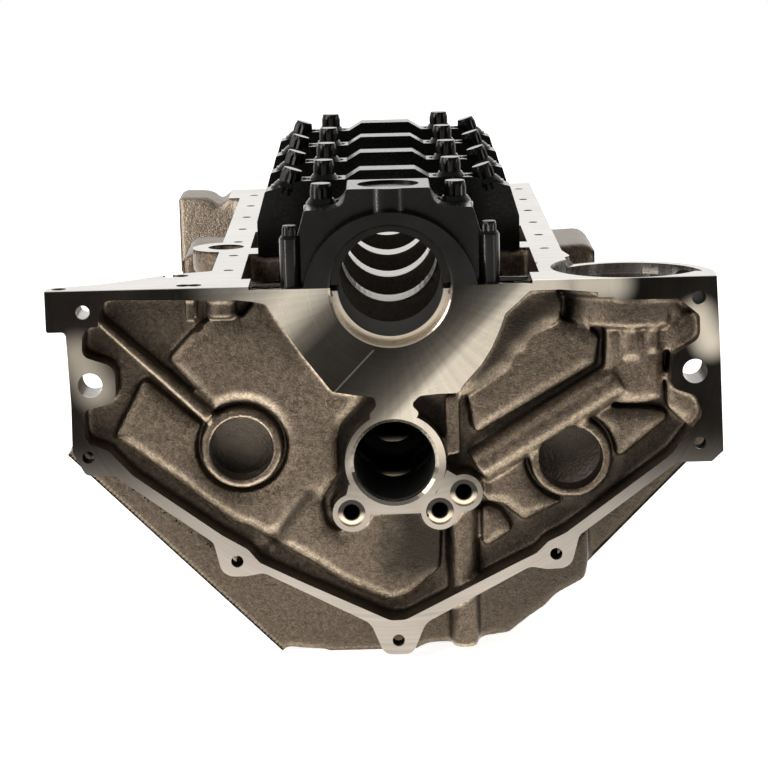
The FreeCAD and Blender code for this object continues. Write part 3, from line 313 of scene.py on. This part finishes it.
def make_world():
    """White to the camera; to the block a bright wall behind it, a dark room in front and a soft ceiling."""
    world = bpy.data.worlds.new("studio")
    bpy.context.scene.world = world
    world.use_nodes = True
    nodes = Nodes(world.node_tree)
    toward = nodes.split(nodes.node("TexCoord").outputs["Generated"])
    wall = nodes.linear(toward["Y"], -0.1, 0.55, 0.045, 1.2)
    ceiling = nodes.linear(toward["Z"], 0.1, 0.5, 0.0, 0.25)
    strength = nodes.math("ADD", wall, ceiling)
    room = nodes.node("Background", {"Color": (1, 0.98, 0.95, 1), "Strength": strength})
    white = nodes.node("Background", {"Color": (1, 1, 1, 1), "Strength": 1.0})
    nodes.node("OutputWorld", {"Surface": nodes.seen(white, room)})
    bpy.context.scene.view_settings.view_transform = "Standard"


def make_floor():
    """White to the camera; to the metal a lit table that ends in front of the block."""
    reach = 6.0
    low = -0.248
    mesh = bpy.data.meshes.new("floor")
    corners = [(reach * x, reach * y, low) for x, y in ((-1, -1), (1, -1), (1, 1), (-1, 1))]
    mesh.from_pydata(corners, [], [(0, 1, 2, 3)])
    floor = bpy.data.objects.new("floor", mesh)
    bpy.context.scene.collection.objects.link(floor)
    material = bpy.data.materials.new("floor_paper")
    material.use_nodes = True
    nodes = Nodes(material.node_tree)
    at = nodes.split(nodes.node("TexCoord").outputs["Object"])
    glow = nodes.linear(at["Y"], -0.6, -0.16, 0.0, 1.5)
    table = nodes.node("Emission", {"Color": (1, 0.97, 0.92, 1), "Strength": glow})
    white = nodes.node("Emission", {"Color": (1, 1, 1, 1), "Strength": 0.85})
    paper = nodes.node("BsdfDiffuse", {"Color": (0.85, 0.85, 0.85, 1)})
    both = nodes.node("AddShader", {0: paper.outputs[0], 1: nodes.seen(white, table)})
    nodes.node("OutputMaterial", {"Surface": both.outputs[0]})
    mesh.materials.append(material)


# Cast iron

# Painted shade along a crease and in bands of the recess: two ends in X and Z, half width, share
PAINTED_SHADE_BANDS = (
    ((-57, -138), (-80, -168), 4.5, 0.75),
    ((56, -60), (84, -26), 12, 0.8),
    ((84, -26), (108, -9), 11, 0.8),
    ((112, -14), (182, -15), 10, 0.45),
    ((-178, -14), (-100, -16), 15, 0.5),
    ((-92, -12), (-64, -40), 11, 0.45))


def painted_underside_highlight(coat):
    """Painted highlight on the skin of the recess that faces down, less of it to the right."""
    rearward = coat.step(coat.facing["Y"], -0.15, -0.5)
    downward = coat.step(coat.facing["Z"], -0.06, -0.3)
    weaker = coat.linear(coat.at["X"], 20 * MM, 100 * MM, 1.0, 0.45)
    return coat.times(downward, rearward, coat.along("Y", 30, 22), weaker)


# Painted shade, darker deeper in the recess
def painted_shade_in_recess(coat):
    return coat.times(coat.along("Y", 11.5, 24), coat.along("Y", 60, 34))


def right_hand_shade(coat):
    return coat.times(coat.along("X", 20, 120), coat.along("Y", 10, 14), coat.along("Y", 120, 60))


def lit_left_rear(coat):
    """Faces of the left bank that look back, ahead of the flange."""
    rearward = coat.step(coat.facing["Y"], -0.3, -0.7)
    return coat.times(rearward, coat.along("Y", 200, 300), coat.along("X", 0, -100))


def shade_in_core_spaces(coat):
    """Painted shade: one flat tone for the water spaces behind the core holes of the rear face."""
    return coat.times(coat.near(CORES, 34, 4), coat.along("Y", 16, 30), coat.along("Y", 75, 65))


def shade_in_tunnels(coat):
    """Painted shade inside the cam tunnel and the crank room, short of the front face."""
    room = coat.times(coat.near((CRANK,), 50, 12), coat.along("Z", 0, -6), coat.along("Y", 45, 60))
    cam = coat.times(coat.near((CAM,), 40, 8), coat.along("Y", 10, 30))
    return coat.times(coat.math("MAXIMUM", cam, room), coat.along("Y", LENGTH - 10, LENGTH - 30))


def shade_below_cam(coat):
    """Painted shade on the field under the cam bore, which falls away; its outline wanders a little."""
    drift = coat.times(coat.math("SUBTRACT", coat.noise(45.0), 0.5), 30 * MM)
    across = coat.math("ADD", coat.at["X"], drift)
    up = coat.math("ADD", coat.at["Z"], coat.times(drift, 0.7))
    sides = coat.times(coat.step(across, -26 * MM, 12 * MM), coat.step(across, 40 * MM, 30 * MM))
    ends = coat.times(coat.step(up, -215 * MM, -180 * MM), coat.step(up, -132 * MM, -150 * MM))
    return coat.times(sides, ends, coat.along("Y", 30, 20))


def cast_iron():
    """Sand cast skin with its grain, a painted highlight on undersides and painted shade in its corners and
    hollows.
    """
    coat = BlockCoat("sand_cast_iron")
    broad = coat.noise(11.0, 4.0)
    waves = coat.noise(70.0, 4.0, 0.6)
    coarse = coat.noise(300.0, 3.0, 0.7)
    grain = coat.noise(820.0, 2.0, 0.7)
    spots = coat.tones(coarse, (0.58, 0.57, 0.56, 1), (1.35, 1.34, 1.32, 1))
    spots = coat.multiply(spots, coat.tones(grain, grey(0.62), grey(1.4)))
    plain = coat.tones(broad, (0.110, 0.085, 0.063, 1), (0.147, 0.115, 0.088, 1))
    # painted highlight: a lighter tone for the skin that faces down
    highlight_tone = coat.tones(broad, (0.39, 0.32, 0.235, 1), (0.55, 0.455, 0.345, 1))
    skin = coat.mix(painted_underside_highlight(coat), coat.multiply(plain, spots), coat.multiply(highlight_tone, spots))

    tunnel = shade_in_tunnels(coat)
    shallow = coat.along("Y", 30, 20)
    light_and_shade = [(painted_shade_in_recess(coat), 0.35, (0.03, 0.024, 0.018, 1)),
              (right_hand_shade(coat), 0.5, (0.025, 0.021, 0.017, 1)),
              (lit_left_rear(coat), 0.7, (0.47, 0.39, 0.31, 1))]
    # painted shade along each band, near the rear face
    for start, end, width, share in PAINTED_SHADE_BANDS:
        light_and_shade.append((coat.times(coat.band(start, end, width), shallow), share, (0.02, 0.016, 0.012, 1)))
    light_and_shade += [(shade_in_core_spaces(coat), 1.0, (0.13, 0.109, 0.088, 1)),
               (tunnel, 0.85, (0.006, 0.005, 0.004, 1)),
               (shade_below_cam(coat), 0.92, (0.022, 0.018, 0.014, 1))]

    rims = coat.math("SUBTRACT", coat.near(PRINTS, 6.4, 0.6), coat.near(PRINTS, 4.6, 0.6))
    surface = coat.bump(waves, 0.3, 0.0016)
    surface = coat.bump(rims, 0.5, 0.0005, surface)
    surface = coat.bump(coarse, 0.4, 0.0008, surface)
    surface = coat.bump(grain, 0.75, 0.0005, surface)
    coat.put(coat.shader, {
        "Base Color": coat.with_painted_light(skin, light_and_shade),
        "Roughness": coat.mix(tunnel, coat.tones(coarse, grey(0.28), grey(0.42)), grey(0.95)),
        "Metallic": coat.math("SUBTRACT", 0.85, coat.times(tunnel, 0.8)),
        "Normal": surface})
    return coat.material


# Machined iron

# Painted sheen across the milled face, from upper left to lower right: place on a slanted line, level
FAN = ((-70, 0.2), (-55, 0.5), (-42, 1.0), (-33, 0.8), (-20, 0.17), (-8, 0.02), (22, 0.0),
       (34, 0.02), (44, 0.06), (51, 0.13), (57.4, 0.33), (63, 1.0), (70, 1.0))

# Painted spots of sheen on the milled face: two ends in X and Z, half width, share
SHEEN = (
    ((124, -1), (140, -1), 12, 0.75),
    ((196, -24), (204, -40), 10, 1.0),
    ((-201, -40), (-190, -62), 12, 0.35),
    ((-12, -41), (-38, -68), 0.5, 0.12),
    ((0, -145), (0, -150), 40, 0.15),
    ((20, -130), (30, -148), 20, 0.2))


def painted_face_sheen(coat):
    """Painted sheen: slanted bands with fine rays round the crank, and single spots."""
    first, last = FAN[0][0], FAN[-1][0]
    slant = coat.times(coat.math("SUBTRACT", coat.at["X"], coat.at["Z"]), 1 / ROOT2)
    bands = coat.ramp(coat.linear(slant, first * MM, last * MM),
                      [((place - first) / (last - first), grey(level)) for place, level in FAN])
    turn = coat.math("ARCTAN2", coat.at["Z"], coat.at["X"])
    around = coat.node("CombineXYZ", {"X": turn}).outputs[0]
    rays = coat.tones(coat.noise(16.0, 3.0, 0.6, around), grey(0.72), grey(1.0))
    sheen = coat.times(bands, coat.step(coat.radius(*CRANK), 135 * MM, 100 * MM), rays)
    for start, end, width, share in SHEEN:
        sheen = coat.math("MAXIMUM", sheen, coat.times(coat.band(start, end, width), share))
    return sheen


def painted_port_light(coat, shallow):
    """Painted light on the seats of the gallery ports: shade over them and a highlight below."""
    seats = coat.times(coat.near(PORTS, 9.1, 0.1), coat.along("Y", 0.6, 1.2), shallow)
    light_and_shade = [(seats, 1.0, (0.05, 0.045, 0.04, 1))]
    for x, z in PORTS:
        lower = coat.times(coat.near(((x, z),), 9.1, 0.1), seats, coat.along("Z", z + 1, z - 5))
        light_and_shade.append((lower, 1.0, (0.95, 0.8, 0.62, 1)))
    return light_and_shade


def machined_iron():
    """Milled or bored iron with its fine lines round the axis of the crank."""
    coat = BlockCoat("machined_iron")
    on_flats = coat.times(coat.radius(*CRANK), coat.math("ABSOLUTE", coat.facing["Y"]))
    rings = coat.node("CombineXYZ", {"X": on_flats, "Y": coat.at["Y"]}).outputs[0]
    lines = coat.noise(2600.0, 3.0, 0.6, rings)
    stripes = coat.noise(160.0, 2.0, 0.5, rings)
    streaks = coat.tones(coat.noise(420.0, 2.0, 0.5, rings), grey(0.8), grey(1.0))
    broad = coat.noise(14.0)

    # painted light and shade: pan rails on top painted brighter, duller faces below them, and the upper part
    # of the rear face painted dark where no sheen is painted
    rails = coat.tones(broad, grey(0.46, 0.03), grey(0.57, 0.03))
    below = coat.tones(broad, grey(0.25, 0.11), grey(0.34, 0.11))
    dark = coat.tones(broad, (0.010, 0.009, 0.008, 1), (0.034, 0.030, 0.026, 1))
    rear_face = coat.along("Y", 4, 1)
    sheen = painted_face_sheen(coat)
    without_sheen = coat.times(rear_face, coat.along("Z", -155, -95), coat.math("SUBTRACT", 1.0, sheen))
    tone = coat.mix(coat.along("Z", -16, -4), below, rails)
    tone = coat.multiply(coat.mix(without_sheen, tone, dark), streaks)

    # painted light round the seal seat: a highlight on the lower part of its edge, and painted shade in the
    # crank bore behind it and in the holes
    shallow = coat.along("Y", 100, 90)
    seal = coat.times(coat.near((CRANK,), 40.6, 0.2), coat.along("Y", 0.2, 0.8))
    edge = coat.times(seal, coat.along("Z", 4, -20), coat.along("Y", 14.6, 14.2))
    bore = coat.times(coat.near((CRANK,), 34.2, 0.3), seal, coat.along("Y", 90, 85))
    dowels = coat.times(coat.near(DOWELS, 8.6, 0.3), coat.along("Y", 1, 3), shallow)
    small = coat.near((UPPER_RIGHT, *LOWER_HOLES, *PORTS), 5.6, 0.5)
    small = coat.times(small, coat.along("Y", 1, 4), shallow)
    cam = coat.times(coat.near((CAM,), 30, 3), coat.along("Y", 4, 12))
    cam = coat.times(cam, coat.along("Y", LENGTH - 1, LENGTH - 6))
    # painted shade: the holes and bores go nearly black, rough and less metallic
    deep = coat.math("MAXIMUM", coat.math("MAXIMUM", cam, small), coat.times(bore, 0.8))

    # painted sheen: a warm highlight on the rear face
    light_and_shade = [(coat.times(sheen, rear_face), 0.95, (1.0, 0.9, 0.74, 1))]
    light_and_shade += painted_port_light(coat, shallow)
    light_and_shade += [(edge, 1.0, (0.9, 0.79, 0.64, 1)),
               (bore, 0.85, (0.02, 0.017, 0.014, 1)),
               (dowels, 0.8, (0.03, 0.026, 0.022, 1)),
               (deep, 1.0, (0.006, 0.006, 0.006, 1))]
    tangent = coat.node("Tangent")
    tangent.direction_type = "RADIAL"
    tangent.axis = "Y"
    coat.put(coat.shader, {
        "Base Color": coat.with_painted_light(tone, light_and_shade),
        "Roughness": coat.mix(deep, coat.tones(stripes, grey(0.2), grey(0.29)), grey(0.85)),
        "Metallic": coat.math("SUBTRACT", 1.0, deep),
        "Anisotropic": 0.4,
        "Tangent": tangent.outputs[0],
        "Normal": coat.bump(lines, 0.06, 0.0001)})
    return coat.material


def black_oxide(name, level, rough):
    coat = Coat(name)
    broad = coat.noise(30.0, 4.0)
    grain = coat.noise(600.0)
    coat.put(coat.shader, {
        "Base Color": coat.tones(broad, grey(level, 0.02), grey(level * 1.7, 0.02)),
        "Roughness": coat.tones(grain, grey(rough - 0.05), grey(rough + 0.08)),
        "Metallic": 0.85,
        "Normal": coat.bump(broad, 0.1, 0.0008)})
    return coat.material


# The machined faces of the block

def arrays(mesh):
    """Points in millimetres, triangles and unit normals of a mesh."""
    mesh.calc_loop_triangles()
    points = np.zeros(len(mesh.vertices) * 3)
    mesh.vertices.foreach_get("co", points)
    faces = np.zeros(len(mesh.loop_triangles) * 3, int)
    mesh.loop_triangles.foreach_get("vertices", faces)
    points = points.reshape(-1, 3) / MM
    faces = faces.reshape(-1, 3)
    a, b, c = (points[faces[:, k]] for k in range(3))
    normals = np.cross(b - a, c - a)
    normals /= np.maximum(np.linalg.norm(normals, axis=1), 1e-9)[:, None]
    return points, faces, normals


def machined_planes():
    """Normal and distance from the origin of each machined plane."""
    planes = [((0, -1, 0), 0.0), ((0, 1, 0), LENGTH), ((-1, 0, 0), PUMP_FACE), ((0, 0, -1), VALLEY_RAIL)]
    planes += [((0, 0, 1), level) for level in (RAIL, REGISTER_FLOOR, *FILTER_LEVELS)]
    for side in SIDES:
        planes.append(((side / ROOT2, 0, -1 / ROOT2), DECK))
        planes.append(((side, 0, 0), MOUNT_FACE))
        planes.append(((side, 0, 0), -REGISTER_SIDE))
    return planes


def bores():
    """Round holes: a point on the axis, its direction and the radius."""
    ahead = (0, 1, 0)
    round_holes = [(CRANK, MAIN_RADIUS), (CRANK, SEAL_RADIUS), (CAM, CAM_RADIUS),
                   (UPPER_LEFT, UPPER_RADIUS), (UPPER_RIGHT, UPPER_RADIUS)]
    for centres, radius in ((DOWELS, DOWEL_RADIUS), (LOWER_HOLES, LOWER_RADIUS), (CORES, CORE_RADIUS),
                            (PORTS, PORT_RADIUS), (PORTS, PORT_SEAT_RADIUS)):
        round_holes += [(centre, radius) for centre in centres]
    holes = [((x, 0, z), ahead, radius) for (x, z), radius in round_holes]
    holes += [((*FILTER_AT, 0), (0, 0, 1), radius) for radius in FILTER_RADII]
    for side in SIDES:
        slant = (side / ROOT2, 0, -1 / ROOT2)
        for number in range(CYLINDERS_PER_BANK):
            y = cylinder_y(side, number)
            holes.append(((0, y, 0), slant, CYLINDER_RADIUS))
            for shift in (-LIFTER_SHIFT, LIFTER_SHIFT):
                holes.append(((0, y + shift, CAM_Z), slant, LIFTER_RADIUS))
    return holes


# Chamfers and seats round the holes of the rear face: centre, inner and outer radius, depth
SEATS = [(CRANK, 38.5, 40.4, 1.6), (CRANK, 33.3, 38.9, 14.1), (CAM, 26.3, 29.0, 2.3)]
SEATS += [(port, 0.0, 9.2, 12.0) for port in PORTS]


def machined_mask(points, faces, normals):
    """Which triangles lie in a machined plane, bore, chamfer or seat."""
    flat_slack = 0.06
    round_slack = 0.12
    corners = points[faces]
    keep = np.zeros(len(faces), bool)
    for normal, offset in machined_planes():
        flat = (np.abs(corners @ np.array(normal) - offset) < flat_slack).all(axis=1)
        keep |= flat & (normals @ np.array(normal) > 0.995)
    for origin, direction, radius in bores():
        axis = np.array(direction, float)
        out = corners - np.array(origin, float)
        out -= (out @ axis)[..., None] * axis
        near = (np.abs(np.linalg.norm(out, axis=2) - radius) < round_slack).all(axis=1)
        middle = out.mean(axis=1)
        keep |= near & ((normals * middle).sum(axis=1) < -0.9 * np.linalg.norm(middle, axis=1))
    for (x, z), inner, outer, depth in SEATS:
        radius = np.hypot(corners[..., 0] - x, corners[..., 2] - z)
        keep |= ((radius >= inner) & (radius < outer) & (corners[..., 1] < depth)).all(axis=1)
    return keep


def mesh_object(name, points, faces, material):
    used, fresh = np.unique(faces, return_inverse=True)
    mesh = bpy.data.meshes.new(name)
    mesh.from_pydata((points[used] * MM).tolist(), [], fresh.reshape(faces.shape).tolist())
    mesh.materials.append(material)
    made = bpy.data.objects.new(name, mesh)
    bpy.context.scene.collection.objects.link(made)
    return made


# The cast skin of the block

def remeshed(mesh, voxel):
    """A voxel skin of a closed mesh, as points in millimetres and quads."""
    holder = bpy.data.objects.new("skin_source", mesh)
    bpy.context.scene.collection.objects.link(holder)
    change = holder.modifiers.new("voxels", "REMESH")
    change.mode = "VOXEL"
    change.voxel_size = voxel * MM
    change.adaptivity = 0.0
    graph = bpy.context.evaluated_depsgraph_get()
    result = bpy.data.meshes.new_from_object(holder.evaluated_get(graph))
    bpy.data.objects.remove(holder)
    points = np.zeros(len(result.vertices) * 3)
    result.vertices.foreach_get("co", points)
    faces = np.zeros(len(result.polygons) * 4, int)
    result.polygons.foreach_get("vertices", faces)
    bpy.data.meshes.remove(result)
    return points.reshape(-1, 3) / MM, faces.reshape(-1, 4)


def closed_copy(mesh, low, high):
    """The mesh welded shut, kept between two planes across the block; None leaves an end whole."""
    work = bmesh.new()
    work.from_mesh(mesh)
    bmesh.ops.remove_doubles(work, verts=work.verts, dist=0.01 * MM)
    for cut, outward in ((low, -1), (high, 1)):
        if cut is None:
            continue
        everything = work.verts[:] + work.edges[:] + work.faces[:]
        found = bmesh.ops.bisect_plane(work, geom=everything, plane_co=(0, cut * MM, 0),
                                       plane_no=(0, outward, 0), clear_outer=True)
        edges = [e for e in found["geom_cut"] if isinstance(e, bmesh.types.BMEdge)]
        bmesh.ops.triangle_fill(work, edges=edges, use_dissolve=False)
    made = bpy.data.meshes.new("closed")
    work.to_mesh(made)
    work.free()
    return made


def smoothed(points, faces, held, rounds):
    """Points drawn towards their neighbours; held ones stay."""
    strength = 0.6
    edges = np.vstack([faces[:, [k, (k + 1) % 4]] for k in range(4)])
    edges = np.unique(np.sort(edges, axis=1), axis=0)
    a, b = edges[:, 0], edges[:, 1]
    total = len(points)
    count = np.bincount(a, minlength=total) + np.bincount(b, minlength=total)
    free = (~held).astype(float) * strength
    for _ in range(rounds):
        summed = np.empty_like(points)
        for axis in range(3):
            summed[:, axis] = (np.bincount(a, points[b, axis], total)
                               + np.bincount(b, points[a, axis], total))
        points = points + free[:, None] * (summed / count[:, None] - points)
    return points


def inside(points, outline):
    """Which points lie inside an outline in X and Z."""
    x, z = points[:, 0], points[:, 2]
    odd = np.zeros(len(points), bool)
    for (x1, z1), (x2, z2) in zip(outline, outline[1:] + outline[:1]):
        crosses = (z1 > z) != (z2 > z)
        at = x1 + (z - z1) * (x2 - x1) / ((z2 - z1) or 1.0)
        odd ^= crosses & (x < at)
    return odd


def in_recess(points):
    return inside(points, RECESS) & (points[:, 1] < RECESS_END)


def in_rear(points):
    return ~in_recess(points) & (points[:, 1] < REAR_END)


def in_middle(points):
    return (points[:, 1] >= REAR_END) & (points[:, 1] < MIDDLE_END)


def in_front(points):
    return points[:, 1] >= MIDDLE_END


def outer_edges(points, faces, normals, level):
    """Points along the edges where a flat cast field at this depth falls away."""
    corners = points[faces]
    depths = corners[..., 1]
    flat = (np.abs(depths - level) < 0.02).all(axis=1) & (normals[:, 1] < -0.99)
    flat &= inside(corners.mean(axis=1), RECESS)
    keys = [tuple(key) for key in np.round(points, 2).tolist()]
    owners = {}
    for index in np.flatnonzero((depths.min(axis=1) < level + 0.02) & (depths.max(axis=1) > -1)):
        names = [keys[k] for k in faces[index]]
        for a, b in zip(names, names[1:] + names[:1]):
            owners.setdefault((min(a, b), max(a, b)), []).append(index)
    found = []
    for (a, b), triangles in owners.items():
        tops = [t for t in triangles if flat[t]]
        others = [t for t in triangles if not flat[t]]
        if len(tops) != 1 or any(depths[t].min() < level - 0.1 for t in others):
            continue
        steps = max(2, int(math.dist(a, b) / 0.5))
        for k in range(steps + 1):
            found.append([a[i] + (b[i] - a[i]) * k / steps for i in range(3)])
    return found


def carved(points, edges, level):
    """Rounded shoulders along the outer edges of a flat field."""
    width = 9.0
    drop = 2.8
    tree = KDTree(len(edges))
    for index, (x, y, z) in enumerate(edges):
        tree.insert((x, 0, z), index)
    tree.balance()
    moved = points.copy()
    for index in np.flatnonzero((points[:, 1] > level - 1.2) & (points[:, 1] < level + drop)):
        x, y, z = points[index]
        gap = tree.find((x, 0, z))[2]
        if gap < width:
            moved[index, 1] = max(y, level + drop * (1 - gap / width) ** 2)
    return moved


def weathered(points):
    """A crease on the left and a soft hollow below the cam bore, both in fields that the model has flat."""
    start, end = np.array((-56.0, -136.0)), np.array((-84.0, -173.0))
    flat = points[:, [0, 2]] - start
    line = end - start
    along = np.clip((flat @ line) / (line @ line), 0, 1)
    gap = np.linalg.norm(flat - along[:, None] * line, axis=1)
    depth = (0.8 + 1.6 * along) * np.exp(-(gap / 5.0) ** 2)
    x, z = points[:, 0], points[:, 2]
    across = np.clip((x + 13) / 8, 0, 1) * np.clip((34 - x) / 10, 0, 1)
    down = np.clip((-z - 138) / 14, 0, 1) * np.clip((z + 215) / 30, 0, 1)
    depth += 2.4 * across * down * (points[:, 1] > 6)
    moved = points.copy()
    moved[:, 1] += depth
    return moved


def beside_machined(points, wanted, exact, reach):
    """Points near a machined face, those well inside one, and all points, the near ones sunk behind it."""
    depth = 0.3
    near = np.zeros(len(points), bool)
    inner = np.zeros(len(points), bool)
    sunk = points.copy()
    for index in np.flatnonzero(wanted):
        point = Vector(points[index])
        hit, normal = exact.find_nearest(point, reach)[:2]
        if hit is None:
            continue
        near[index] = True
        sunk[index] = np.array(hit) - depth * np.array(normal)
        side = point - hit
        inner[index] = (side - side.dot(normal) * normal).length < 0.05
    return near, inner, sunk


def shrunk(chosen, faces):
    """Chosen points without those of any face that has other points too."""
    open_faces = ~chosen[faces].all(axis=1)
    edge = np.zeros(len(chosen), bool)
    edge[np.unique(faces[open_faces])] = True
    return chosen & ~edge


def cast_skin(mesh, exact, fields, voxel, rounds, low, high, region):
    """Cast surface of a region, sunk a little where it meets the exact machined faces."""
    points, faces = remeshed(closed_copy(mesh, low, high), voxel)
    kept = region(points[faces].mean(axis=1))
    wanted = np.zeros(len(points), bool)
    wanted[np.unique(faces[kept])] = True
    if region is in_recess:
        for level, edges in fields:
            points = carved(points, edges, level)
    near, inner, sunk = beside_machined(points, wanted, exact, 0.75 * voxel + 0.4)
    points = smoothed(points, faces, near, rounds)
    if region is in_recess:
        points = weathered(points)
    points[near] = sunk[near]
    # faces well inside a machined face are hidden behind it
    hidden = shrunk(shrunk(inner, faces), faces)
    return points, faces[kept & ~hidden[faces].all(axis=1)]


# Cast skin: name, voxel, rounds of smoothing, two cuts a little outside the region, region
SKINS = (("block_cast_recess", 1.35, 9, None, 36, in_recess),
         ("block_cast_rear", 2.0, 6, None, 52, in_rear),
         ("block_cast_middle", 2.8, 4, 36, 320, in_middle),
         ("block_cast_front", 2.8, 4, 280, None, in_front))


def dress_block():
    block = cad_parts["block"]
    points, faces, normals = arrays(block.data)
    keep = machined_mask(points, faces, normals)
    iron = cast_iron()
    machined = mesh_object("block_machined", points, faces[keep], machined_iron())
    # the radial tangent turns about the middle of the texture space, here on the crank axis
    machined.data.use_auto_texspace = False
    machined.data.texspace_location = (0, 0, 0)
    machined.data.texspace_size = (0.5, 0.5, 0.5)
    exact = BVHTree.FromPolygons(points.tolist(), faces[keep].tolist())
    fields = [(level, outer_edges(points, faces, normals, level)) for level in FIELD_DEPTHS]
    pieces = [machined]
    for name, voxel, rounds, low, high, region in SKINS:
        skin_points, skin_faces = cast_skin(block.data, exact, fields, voxel, rounds, low, high, region)
        piece = mesh_object(name, skin_points, skin_faces, iron)
        piece.data.shade_smooth()
        pieces.append(piece)
    for piece in pieces:
        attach(piece, "root")
        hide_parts("block")


def dress_rest():
    cap = black_oxide("cap_oxide", 0.017, 0.2)
    bolt = black_oxide("bolt_oxide", 0.014, 0.15)
    for name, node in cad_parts.items():
        if name == "block":
            continue
        node.data.materials.clear()
        node.data.materials.append(cap if name.startswith("main_cap") else bolt)


make_camera()
make_world()
make_floor()
make_lamps()
dress_block()
dress_rest()
